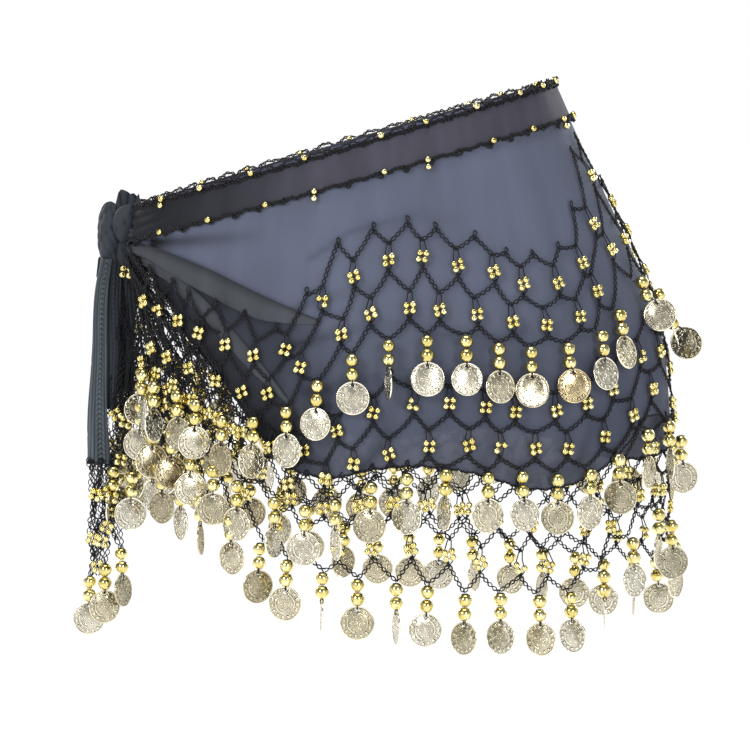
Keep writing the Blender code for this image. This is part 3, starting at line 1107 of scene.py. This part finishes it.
class Net:
    def __init__(self):
        self.chains, self.threads, self.loops = [], [], []
        self.stitches, self.small, self.big, self.coins = [], [], [], []

    def cluster(self, centre, axes, tilt, top, bottom):
        """Four small beads, on two threads that run from the top joint to the bottom one."""
        around, down, out = axes
        side = around * math.cos(tilt) + down * math.sin(tilt)
        along = down * math.cos(tilt) - around * math.sin(tilt)
        missing = rng.integers(4) if rng.random() < 0.10 else -1
        for hand in (-1, 1):
            run = [top + around * (hand * 1.1 * MM)]
            for step in (-1, 1):
                place = centre + side * (hand * ACROSS_CLUSTER * MM) + along * (step * DOWN_CLUSTER * MM)
                place = place + out * (SMALL_BEAD * 0.7 * MM)
                if missing != hand + 1 + (step > 0):
                    turn = euler_of(side, np.cross(out, side), out)
                    self.small.append((place, turn, rng.uniform(0.93, 1.08), 0))
                run.append(place + along * (step * 1.6 * MM))
            run.append(bottom + around * (hand * 0.5 * MM))
            self.threads.append(facing(run, out))

    def hang(self, point, axes, yaw, clear, stand_off):
        """A pendant. clear is how much room its coin needs from what lies behind it."""
        around, down, out = axes
        lift = out * (BIG_BEAD + stand_off) * MM
        down = unit(down + unit(around) * jitter(0.06) + out * rng.uniform(-0.02, 0.03))
        side = unit(np.cross(out, down))
        plain = euler_of(side, -np.cross(down, side), -down)
        for number in (0, 1):
            bead = point + lift + down * (number * BEAD_GAP * MM)
            self.big.append((bead, plain, rng.uniform(0.95, 1.05), 0))
        turned = math.radians(yaw)
        face = unit(np.cross(side, down))
        if face @ out < 0:
            face = -face
        face = face * math.cos(turned) + side * math.sin(turned)
        edge_room = out * (clear * COIN_RADIUS * abs(math.sin(turned)) * EDGE_ROOM) * MM
        centre = point + lift + edge_room + down * (COIN_DROP * MM)
        tone = rng.random() ** 2
        turn = euler_of(unit(np.cross(-down, face)), -down, face)
        self.coins.append((centre, turn, rng.uniform(0.97, 1.03), tone))
        hole = centre - down * (HOLE_UP * MM)
        loop = [hole + face * off * MM - down * up * MM for off, up in LOOP]
        self.loops.append(facing([bead, *loop, bead], out))
        self.loops.append(facing([point - down * 3 * MM, point + lift], out))

    def pieces(self, label, yarn_prefix, bead_prefix, **link):
        made = [
            chains(f"{yarn_prefix}_chain_{label}", self.chains, **link),
            threads(f"{yarn_prefix}_thread_{label}", self.threads + self.loops),
        ]
        for kind, blank, slot, places in (
            (f"{yarn_prefix}_knots", stitch_one, "crochet_yarn", self.stitches),
            (f"{bead_prefix}small_beads", small_blank, "gold_bead", self.small),
            (f"{bead_prefix}big_beads", big_blank, "gold_bead", self.big),
            (f"{bead_prefix}coins", coin_one, "coin_metal", self.coins),
        ):
            if places:
                made.append(set_on(f"{kind}_{label}", blank, slot, places))
        print(f"{label}: {len(self.small)} small beads, {len(self.coins)} coins")
        return made


# %% [markdown]
# ### The tiers
# Now each tier is built: its tacked tips, two rows of joints with their clusters, the pendants at
# its foot, and the gathered runs that hang from the knot on either side.

# %% The tiers
CROWDED_PHI = 136
KNOT_SHIFT = 2


def random_yaw():
    return jitter(18) if rng.random() < 0.55 else rng.choice((-1, 1)) * rng.uniform(32, 80)


def build_tier(tier):
    offset, _, _, gathered_runs = TIERS[tier]
    columns = np.arange(-NET_END_PHI + 13 + offset, NET_END_PHI - 10, PITCH)
    net = Net()

    def drop_at(phi, share):
        start, end = tier_start(tier, phi), level(f"{tier}_coins", phi)
        return float(start + (end - start) * share)

    def row(shift, share):
        places = []
        for phi in columns + shift:
            if abs(phi) < NET_END_PHI + 1:
                places.append((phi + jitter(0.9), drop_at(phi, share) + jitter(1.6)))
        return places

    def fan(upper, lower):
        """Chains from each upper place to the lower ones within a pitch of it."""
        for start in upper:
            for end in lower:
                if abs(start[0] - end[0]) < 0.8 * PITCH:
                    net.chains.append(strand(start, end, tier))

    def stitch(phi, drop):
        turn = tuple(rng.uniform(0, 3, 3))
        point = on_hips(phi, drop, net_lift(phi, drop, tier) + 0.2)
        net.stitches.append((point, turn, rng.uniform(0.8, 1.25), 0))

    above = row(PITCH / 2, 0.0)
    for phi, drop in above:
        hem = float(level("hem", phi))
        tack_drop = hem - 1 if drop > hem + 2 else drop - rng.uniform(2.5, 5)
        net.chains.append(strand((phi + jitter(0.4), tack_drop), (phi, drop + 1), tier, sag=0))
        stitch(phi, drop)
    for shift, share in ((0, FIRST_ROW), (PITCH / 2, SECOND_ROW)):
        middles = row(shift, share)
        joints = [(phi + jitter(0.3), drop - THREAD_RUN) for phi, drop in middles]
        splits = [(phi + jitter(0.3), drop + SPLIT_RUN) for phi, drop in middles]
        fan(above, joints)
        for joint, (phi, drop), split in zip(joints, middles, splits):
            if phi > CROWDED_PHI and rng.random() < 0.55:
                net.chains.append(strand(joint, split, tier))
                continue
            centre, *axes = frame_at(phi, drop, net_lift(phi, drop, tier))
            ends = [on_hips(*end, net_lift(*end, tier)) for end in (joint, split)]
            net.cluster(centre, axes, math.radians(jitter(20)), *ends)
            stitch(*joint)
            stitch(*split)
            stitch(split[0] + jitter(0.3), split[1] - 1.6)
        above = splits
    heads = row(0, 1.0)
    fan(above, [(phi, drop - BIG_BEAD) for phi, drop in heads])
    for number, (phi, drop) in enumerate(heads):
        free = drop > float(level("hem", phi)) - 6
        point, around, down, out = frame_at(phi, drop, net_lift(phi, drop, tier))
        if free:
            down = np.array([0, 0, -1.0])
        net.hang(point, (around, down, out), random_yaw(), 0.2 if free else 1.0, 1.6 * (number % 2))
    for hand in (-1, 1):
        for _ in range(gathered_runs):
            start = (hand * rng.uniform(158, 166) + KNOT_SHIFT, rng.uniform(24, 34))
            end = (hand * rng.uniform(118, 156), drop_at(hand * 140, rng.uniform(0.2, 1.0)))
            net.chains.append(strand(start, end, tier, sag=rng.uniform(2, 7), points=9))
    made = net.pieces(tier, "net", "")
    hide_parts(f"net_{tier}")
    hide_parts(f"coin_row_{tier}")
    return made


nets_and_coins = [piece for tier in TIERS for piece in build_tier(tier)]

# %% [markdown]
# ## The knot
# The knot is the panel's own ends wrapped round each other: a fat lobe at the side, a front flap
# that folds down to a point, and a lobe behind. Wrapped cloth has ridges along the pull, so each
# lobe is a ball pressed to size with ridges run round it.

# %% The knot's lobes
LOBE_ROWS, LOBE_COLUMNS = 56, 120


def pleated_lobe(name, centre, radii, pleats, height, twist, tip=0.0, lean=(0, 0), phase=0.0):
    """A closed lump of cloth. Rounded pleats run from pole to pole, and tip draws its foot to a point."""
    polar = np.linspace(0.02, math.pi - 0.02, LOBE_ROWS)[:, None]
    turn = (np.arange(LOBE_COLUMNS) * 2 * math.pi / LOBE_COLUMNS)[None, :]
    uneven = turn + 0.35 * np.sin(2 * turn + phase) + twist * polar
    crossing = turn + 0.4 * np.sin(polar * 2 + phase) - 0.5 * twist * polar
    pleat = rounded(np.sin(uneven * pleats / 2 + phase)) - 0.6
    pleat = 0.6 * pleat + 0.4 * (rounded(np.sin(crossing * (pleats + 3) / 2 + phase)) - 0.6)
    broad = 0.5 * np.cos(2 * turn + 2.2 * polar + phase)
    swell = 1 + height * (pleat + broad) * np.sin(polar) ** 0.7
    share = polar / math.pi
    narrow = 1 - tip * share**1.6
    x = np.sin(polar) * np.cos(turn) * swell * narrow * radii[0] + lean[0] * share
    y = np.sin(polar) * np.sin(turn) * swell * narrow * radii[1] + lean[1] * share
    z = np.cos(polar) * radii[2] * (1 + 0.5 * height * pleat)
    points = (np.stack([x, y, z], axis=-1) + np.array(centre)) * MM
    # painted shade darkens the pleats' valleys
    item = grid_sheet(name, points, knot_chiffon, 0, np.clip(-pleat * 1.5 - 0.1, 0, 0.9), closed=True)
    turn_outward(item.data)
    return item


knot_wrap = pleated_lobe("knot_wrap_cloth", (-149.5, 1, -57), (9, 17, 20.5), 7, 0.17, 1.1, lean=(2, 0))
pleated_lobe(
    "knot_flap", (-136.5, -17, -49.5), (9.5, 9, 12), 3, 0.10, 0.8, tip=0.55, lean=(-4.5, 2), phase=1.0
)
pleated_lobe("knot_back", (-139.5, 9.5, -51), (9, 9.5, 14), 8, 0.15, -0.7, tip=0.4, phase=2.0)
pleated_lobe("knot_core", (-140, 0, -61), (8.5, 12, 19), 9, 0.14, 0.3, phase=0.5)
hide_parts("knot_wrap")
print("knot wrap points:", len(knot_wrap.data.vertices))

# %% [markdown]
# ### The knot's ends and gathers
# The loop's ruffled ends stand up above the knot, and one end is tucked in at its side. Each is a
# pleated sheet with an outline of its own. On both sides a fan of pleats leads from the knot to
# where the panel lies smooth, and fades into it.

# %% The knot's ends and gathers
END_WALL, END_ROWS, END_COLUMNS = 0.6, 24, 60
GATHER_ROWS, GATHER_COLUMNS = 69, 23
EAR_TOP = (0.30, 0.85, 1.00, 0.97, 0.90, 0.80, 0.68, 0.55, 0.80, 0.20)
BACK_EAR_TOP = (0.30, 0.60, 0.85, 0.90, 0.70, 0.40)
TUCK_TOP = (0.90, 1.00, 0.75, 0.60, 0.45)


def leaf(name, foot, width, height, outline, pleats, depth, lean=0.0, splay=1.2):
    """An end of cloth that stands up from the knot in pleats. outline gives its top, from side to side."""
    across = np.linspace(-1, 1, END_COLUMNS + 1)[None, :]
    up = shares(END_ROWS)
    half = width / 2 * (0.55 + (splay - 0.55) * up**0.8)
    top = np.interp(across, np.linspace(-1, 1, len(outline)), outline)
    wave = rounded(np.sin(across * math.pi * pleats / 2), 0.7)
    x = foot[0] + across * half + lean * up
    y = foot[1] - depth * wave * (0.4 + 0.6 * up) + 1.5 * up
    z = foot[2] + height * up * top
    points = np.stack(np.broadcast_arrays(x, y, z), axis=-1) * MM
    # painted shade darkens the valleys between the pleats, over dense cloth
    return grid_sheet(name, points[::-1], knot_chiffon, END_WALL, 0.8 - wave), area_of(points)


def gathers(name, hand):
    """The panel's gathered end, a fan of pleats from the knot to where the cloth lies smooth."""
    down = shares(GATHER_ROWS)
    out = shares(GATHER_COLUMNS).T
    start = np.stack([-140 + 0 * down, hand * (6 + 2 * down), -50 - 17 * down], axis=-1)
    phi, drop = hand * (151 - 8 * down), 23 + 21 * down
    end = on_hips(phi, drop, relief(phi, drop) + CLOTH_LIFT) / MM
    line = start + (end - start) * out[..., None]
    outward = np.array([-0.25, hand, 0.0])
    ridge = rounded(np.sin(down * math.pi * 5.5 + 0.6 * np.sin(out * 2)))
    rise = 2.4 * np.sin(np.pi * out) ** 0.8 + 1.3 * ridge * (1 - 0.8 * out)
    points = (line + outward * rise[..., None]) * MM
    # dense gathered cloth near the knot, with a painted highlight on each ridge
    dark = np.clip(1.1 - 0.5 * out - 0.3 * ridge, 0, 1)
    fade = np.clip((1 - out) * 5, 0, 1)
    order = slice(None, None, -hand)
    item = grid_sheet(name, points[:, order], chiffon, CLOTH_WALL, dark[:, order], fade[:, order])
    return item, area_of(points)


loop_front = leaf("knot_loop_cloth", (-138, -6, -42), 14, 14, EAR_TOP, 3, 1.6, lean=1.0)
loop_back = leaf("knot_loop_back", (-137, 1, -41), 9, 11.5, BACK_EAR_TOP, 4, 1.4, lean=2.0)
tuck = leaf("knot_tuck_cloth", (-155.0, -3, -84), 11, 13, TUCK_TOP, 3, 1.2, lean=1.0, splay=0.5)
front_gathers = gathers("knot_gathers_front", -1)
back_gathers = gathers("knot_gathers_back", 1)
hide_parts("knot_loop")
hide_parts("knot_tuck")
print("areas of the knot's ends:", [round(area, 5) for _, area in (loop_front, loop_back, tuck)])

# %% [markdown]
# ## The tails
# Two ends of the scarf hang from the knot. The cloth in each is gathered into lengthwise pleats,
# and the front one shows a puckered seam: a row of small ribs down its middle. Each is a sheet
# whose rows follow a short table of sections.

# %% Tail cloth
TAIL_WALL, TAIL_ROWS, TAIL_COLUMNS = 0.7, 170, 64
RIB_PITCH, SEAM_AT, SEAM_WIDTH = 3.2, 0.12, 0.14
# rows of z, centre x, centre y and width
FRONT_TAIL = (
    (-72, -151, -10, 7), (-92, -154, -12, 8), (-130, -155.5, -13, 9), (-168, -157, -13, 12),
    (-203, -156, -13, 15),
)
MIDDLE_TAIL = (
    (-72, -146, -7, 9), (-92, -147, -9, 10), (-120, -147.5, -10, 10), (-145, -148, -10, 9),
    (-168, -148, -10, 6),
)
INNER_TAIL = (
    (-70, -140, -4, 11), (-92, -139.5, -5, 12), (-125, -140, -5, 12), (-140, -141, -5, 9),
    (-156, -142, -5, 6),
)
BACK_TAIL = ((-72, -142, 7, 13), (-90, -142, 9, 14), (-122, -142, 10, 15), (-158, -142, 10, 15))


def tail_sheet(name, sections, pleats, depth, material, pucker=0.0, phase=0.0):
    table = np.array(sections, float)[::-1]
    z = np.linspace(table[-1, 0], table[0, 0], TAIL_ROWS)
    centre_x, centre_y, width = (smooth(z, table[:, 0], table[:, i])[:, None] for i in (1, 2, 3))
    across = np.linspace(-0.5, 0.5, TAIL_COLUMNS)[None, :]
    down = ((z[0] - z) / (z[0] - z[-1]))[:, None]
    wander = 0.5 * np.sin(down * 5 + phase)
    fold = np.cos((across * pleats + wander * 0.4) * 2 * math.pi + phase)
    fine = rounded(np.sin((across * pleats * 3.1 + 0.3 * np.sin(down * 7)) * math.pi))
    x = centre_x + across * width
    y = centre_y + depth * fold * (0.7 + 0.3 * down) - 0.7 * depth * fine
    ribs = np.sin(z[:, None] * 2 * math.pi / RIB_PITCH + np.abs(across - SEAM_AT) * 22)
    seam = np.exp(-(((across - SEAM_AT) / SEAM_WIDTH) ** 2))
    y = y - pucker * ribs * seam
    points = np.stack(np.broadcast_arrays(x, y, z[:, None]), axis=-1) * MM
    # painted shade in the valleys of the pleats and folds, and painted light and shade on the seam's ribs
    dark = np.clip(0.9 - 0.9 * fine + 0.3 * np.clip(-fold, 0, 1) - 0.5 * pucker * seam * ribs, 0, 0.95)
    print(f"{name}: {round(area_of(points) * 1e6)} square millimetres")
    return grid_sheet(name, points, material, TAIL_WALL, dark), area_of(points)


front_tail = tail_sheet("tail_front", FRONT_TAIL, 1.9, 0.8, tail_chiffon, pucker=0.9)
middle_tail = tail_sheet("tail_middle", MIDDLE_TAIL, 1.4, 1.4, knot_chiffon, pucker=0.4, phase=1.7)
inner_tail = tail_sheet("tail_inner", INNER_TAIL, 1.6, 1.6, knot_chiffon, phase=1.0)
back_tail = tail_sheet("tail_back", BACK_TAIL, 2.2, 2.0, tail_chiffon, pucker=0.4, phase=2.2)
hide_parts("tail_cloth_front")
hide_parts("tail_cloth_back")

# %% [markdown]
# ### The tails' fringe
# The net on a tail hangs in a bunch, so its yarns are drawn one by one: each runs from the cloth
# through a few bead clusters to a pendant. The tables give only where each begins and ends.

# %% The fringe's tables
# x, y and z of each start, then of the pendant's first bead, then the coin's yaw
FRONT_FRINGE = (
    ((-161, -14, -203), (-162, -14, -278), 8),
    ((-156, -16, -204), (-152, -17, -270), 24),
    ((-151, -12, -203), (-142, -13, -260), 62),
    ((-148, -9, -195), (-147, -10, -208), 76),
    ((-144, -12, -150), (-135, -15, -211), 12),
    ((-141, -10, -110), (-129, -14, -144), 20),
)
BACK_FRINGE = (
    ((-147, 9, -157), (-146, 8, -206), 40),
    ((-142, 12, -158), (-139, 13, -196), -20),
    ((-138, 10, -157), (-134, 8, -203), 70),
    ((-141, 6, -150), (-141, 3, -178), 15),
)
# extra hanging yarns, from and to
FRONT_YARNS = (
    ((-160, -15, -202), (-158, -17, -262)),
    ((-153, -11, -202), (-158, -11, -270)),
    ((-151, -9, -140), (-145, -12, -214)),
    ((-147, -8, -120), (-141, -10, -205)),
    ((-143, -11, -130), (-147, -14, -236)),
    ((-141, -6, -84), (-138, -12, -180)),
    ((-138, -8, -80), (-133, -13, -162)),
    ((-136, -4, -78), (-141, -9, -200)),
    ((-150, -13, -201), (-145, -13, -252)),
    ((-156, -12, -203), (-150, -15, -256)),
)
BACK_YARNS = (
    ((-145, 11, -157), (-143, 10, -196)),
    ((-139, 8, -156), (-142, 6, -188)),
    ((-137, 6, -82), (-136, 10, -168)),
    ((-136, 12, -84), (-138, 14, -176)),
)
# the middle of each bead cluster
FRONT_CLUSTERS = (
    (-145, -15, -171), (-139, -15, -176), (-142, -14, -200), (-158, -19, -222), (-153, -18, -221),
    (-148, -16, -224), (-151, -18, -243), (-160, -18, -250), (-154, -18, -252), (-146, -14, -233),
    (-138, -19, -80), (-157, -17, -268),
)
BACK_CLUSTERS = ((-145, 13, -170), (-140, 15, -184), (-136, 13, -174), (-142, 9, -166), (-147, 11, -192))
print("pendants on the tails:", len(FRONT_FRINGE) + len(BACK_FRINGE))

# %% [markdown]
# Each yarn is doubled and sways between its ends. A few short chains also run along the cloth's
# foot, where the fringe is worked on.

# %% Tail fringe
FOOT_POINTS, FOOT_HALF = 14, 8


def swag(start, end, amount, points=12):
    """A loose path that leans and wavers between two places."""
    start, end = np.array(start, float), np.array(end, float)
    share = np.linspace(0, 1, points)[:, None]
    sway = np.array([jitter(1), jitter(1), 0.0]) * amount
    waver = np.sin(share * math.pi * rng.uniform(3, 6) + jitter(3)) * np.array([2.0, 1.0, 0])
    return start + (end - start) * share + sway * np.sin(share * math.pi) + waver * np.sin(share * math.pi)


def build_fringe(name, out_y, foot_x, foot_rows, hung, yarns, clusters):
    """out_y is -1 for a fringe that faces the front and 1 for one that faces the back."""
    net = Net()
    out = np.array([0, out_y, 0.0])
    around, down = np.array([1.0, 0, 0]) * -out_y, np.array([0, 0, -1.0])
    for start, end, *yaw in (*hung, *yarns):
        for _ in range(2):
            net.chains.append(facing(swag(start, end, 5.0) * MM, out))
        if yaw:
            net.hang(np.array(end, float) * MM, (around, down, out), yaw[0], 0.2, 0.5)
    for place in clusters:
        centre = np.array(place, float) * MM
        ends = centre - down * 6 * MM, centre + down * 6 * MM
        net.cluster(centre, (around, down, out), math.radians(jitter(30)), *ends)
    _, foot_y, foot_z = hung[0][0]
    spread = np.linspace(-FOOT_HALF, FOOT_HALF, FOOT_POINTS)
    for row in range(foot_rows):
        y = foot_y + 0.8 * np.cos(spread + row)
        z = foot_z + 0.8 * np.sin(spread * 2 + row) + 1.2 * row
        net.chains.append(facing(np.stack([foot_x + spread, y, z], axis=-1) * MM, out))
    made = net.pieces(name, "tail", "tail_", width=2.5, link=4.6, radius=0.36)
    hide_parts(f"tail_fringe_{name}")
    return made


front_fringe = build_fringe("front", -1.0, -156, 3, FRONT_FRINGE, FRONT_YARNS, FRONT_CLUSTERS)
back_fringe = build_fringe("back", 1.0, -142, 2, BACK_FRINGE, BACK_YARNS, BACK_CLUSTERS)
for blank in BLANKS:
    bpy.data.objects.remove(blank)

# %% [markdown]
# ## The flat sizes of the cloth
# The panel's cut is a long crescent. A gathered piece's width is its area over the length that
# shows, and the flat size of each is printed.

FOLD_DEPTHS = {"upper": 0.0145, "lower": 0.011}
for name, (fold, area) in fold_sheets.items():
    depth = FOLD_DEPTHS[name.split("_")[1]]
    round(area / depth, 3)
LEAST_WIDTH = 0.0101
GATHERED = (
    # the piece with its area, its length and what hangs on it
    (front_tail, 0.131, front_fringe),
    (middle_tail, 0.096, []),
    (inner_tail, 0.086, []),
    (back_tail, 0.086, back_fringe),
    (loop_front, 0.0145, []),
    (loop_back, 0.0115, []),
    (tuck, 0.013, []),
    (front_gathers, 0.024, []),
    (back_gathers, 0.024, []),
)
for (item, area), length, fringe in GATHERED:
    flat = (max(LEAST_WIDTH, round(area / length, 4)), length)
    print(item.name, "flat size:", flat)

# %% [markdown]
# ## The studio
# The scarf floats over a white floor, as a wearer would hold it. Polished beads need something to
# mirror, so the light comes from large soft panels with darker air between them.

# %% Floor, lights and air
FLOOR_Z, FLOOR_HALF = -0.62, 30.0
TARGET = Vector((0.020, 0.0, -0.147))
PAPER = {
    "Base Color": (0.50, 0.50, 0.51, 1),
    "Roughness": 0.9,
    "Emission Color": (1.0, 1.0, 1.0, 1),
    "Emission Strength": 0.86,
}
SOFT_PANELS = {
    # place, width and height in metres, power in watts
    "key_left": ((-1.4, -1.9, 0.9), (0.55, 0.8), 27),
    "front_right": ((1.1, -2.3, 0.5), (0.4, 0.8), 17),
    "top": ((0.0, -0.3, 1.7), (1.2, 0.9), 17),
    "back_left": ((-1.2, 1.6, 0.7), (0.6, 0.9), 15),
    "back_right": ((1.3, 1.6, 0.5), (0.6, 0.9), 15),
}

corners = [(x * FLOOR_HALF, y * FLOOR_HALF, FLOOR_Z) for x, y in ((-1, -1), (1, -1), (1, 1), (-1, 1))]
floor_mesh = bpy.data.meshes.new("studio_floor")
floor_mesh.from_pydata(corners, [], [(0, 1, 2, 3)])
floor_mesh.materials.append(new_material("floor_paper", PAPER))
put_in_scene("studio_floor", floor_mesh)

for name, (place, size, power) in SOFT_PANELS.items():
    light = bpy.data.lights.new(name, "AREA")
    light.shape, light.size, light.size_y, light.energy = "RECTANGLE", *size, power
    item = put_in_scene(name, light)
    item.location = place
    item.rotation_euler = (TARGET - Vector(place)).to_track_quat("-Z", "Y").to_euler()

world = bpy.data.worlds.new("studio_air")
world.use_nodes = True
bpy.context.scene.world = world
air = Flow(world.node_tree)
height = air.node("ShaderNodeSeparateXYZ", {0: air.node("ShaderNodeTexCoord")}, "Z")
background = world.node_tree.nodes["Background"]
background.inputs["Color"].default_value = (1.0, 1.0, 1.0, 1)
air.plug(background.inputs["Strength"], height.band(0.38, 0.04) * 0.72 + 0.28)
bpy.context.scene.view_settings.view_transform = "Standard"
print("lights, watts:", sum(power for *_, power in SOFT_PANELS.values()))

# %% [markdown]
# ### The camera
# A long lens a little above the hips keeps the scarf's ovals nearly as flat as the eye sees them.

# %% The camera
CAMERA_DISTANCE, CAMERA_ELEVATION, FRAME_WIDTH = 3.0, 4.0, 0.480
camera_data = bpy.data.cameras.new("camera")
camera_data.lens = camera_data.sensor_width * CAMERA_DISTANCE / FRAME_WIDTH
tilt = math.radians(CAMERA_ELEVATION)
camera = put_in_scene("camera", camera_data)
camera.location = TARGET + Vector((0, -math.cos(tilt), math.sin(tilt))) * CAMERA_DISTANCE
camera.rotation_euler = (math.radians(90 - CAMERA_ELEVATION), 0, 0)
bpy.context.scene.camera = camera
print("lens, mm:", round(camera_data.lens))
